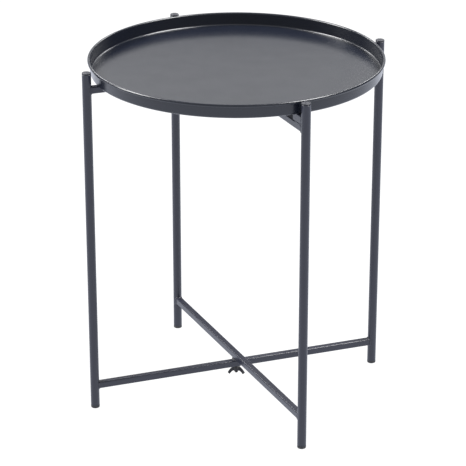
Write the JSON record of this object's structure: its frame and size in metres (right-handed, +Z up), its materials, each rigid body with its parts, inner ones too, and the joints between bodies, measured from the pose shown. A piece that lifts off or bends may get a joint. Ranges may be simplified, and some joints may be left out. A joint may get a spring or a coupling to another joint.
{
  "type": "folding tray table",
  "caption": "Round rimmed tray resting on two crossed leg frames that fold flat about a vertical axis and are locked by a wing nut.",
  "frame": {"origin": "on the floor, on the vertical pivot axis that both frames cross at", "axes": "+Z up; the outer frame lies along X; the inner frame lies 85 degrees from it, with its front leg towards -Y"},
  "size_m": [0.456, 0.4542, 0.52],
  "materials": {
    "frame_coat": "satin charcoal powder coat",
    "tray_coat": "satin blue-black powder coat, softly reflective",
    "black_hardware": "black zinc, low sheen",
    "foot_plastic": "matt moulded black",
    "spacer_nylon": "matt black nylon"
  },
  "bodies": {
    "outer_frame": {"left_leg": "frame_coat", "left_foot": "foot_plastic", "left_top_cap": "frame_coat", "right_leg": "frame_coat", "right_foot": "foot_plastic", "right_top_cap": "frame_coat", "outer_lower_bar": "frame_coat", "outer_upper_bar": "frame_coat", "upper_pivot_bolt": "black_hardware", "upper_pivot_spacer": "spacer_nylon", "upper_pivot_washer": "black_hardware", "upper_lock_nut": "black_hardware"},
    "inner_frame": {"back_leg": "frame_coat", "back_foot": "foot_plastic", "back_top_cap": "frame_coat", "front_leg": "frame_coat", "front_foot": "foot_plastic", "front_top_cap": "frame_coat", "inner_lower_bar": "frame_coat", "inner_upper_bar": "frame_coat", "front_tray_support": "frame_coat", "back_tray_support": "frame_coat", "lower_pivot_bolt": "black_hardware", "lower_pivot_spacer": "spacer_nylon"},
    "tray": {"tray_pan": "tray_coat"},
    "clamp": {"clamp_washer": "black_hardware"},
    "wing_nut": {"wing_nut": "black_hardware"}
  },
  "joints": [
    {"name": "fold_hinge", "type": "hinge", "parent": "outer_frame", "child": "inner_frame", "pos_m": [0, 0, 0.04225], "axis": [0, 0, 1], "range_deg": [-91, 81]},
    {"name": "tray_lift", "type": "slide", "parent": "outer_frame", "child": "tray", "axis": [0, 0, 1], "range_m": [0, 0.12]},
    {"name": "clamp_slide", "type": "slide", "parent": "inner_frame", "child": "clamp", "axis": [0, 0, -1], "range_m": [0, 0.0025]},
    {"name": "wing_nut_turn", "type": "hinge", "parent": "clamp", "child": "wing_nut", "pos_m": [0, 0, 0.0264], "axis": [0, 0, -1], "range_deg": [0, 1080]}
  ],
  "couplings": [
    {"joint": "clamp_slide", "follows": "wing_nut_turn", "m_per_rad": 0.00012732}
  ]
}
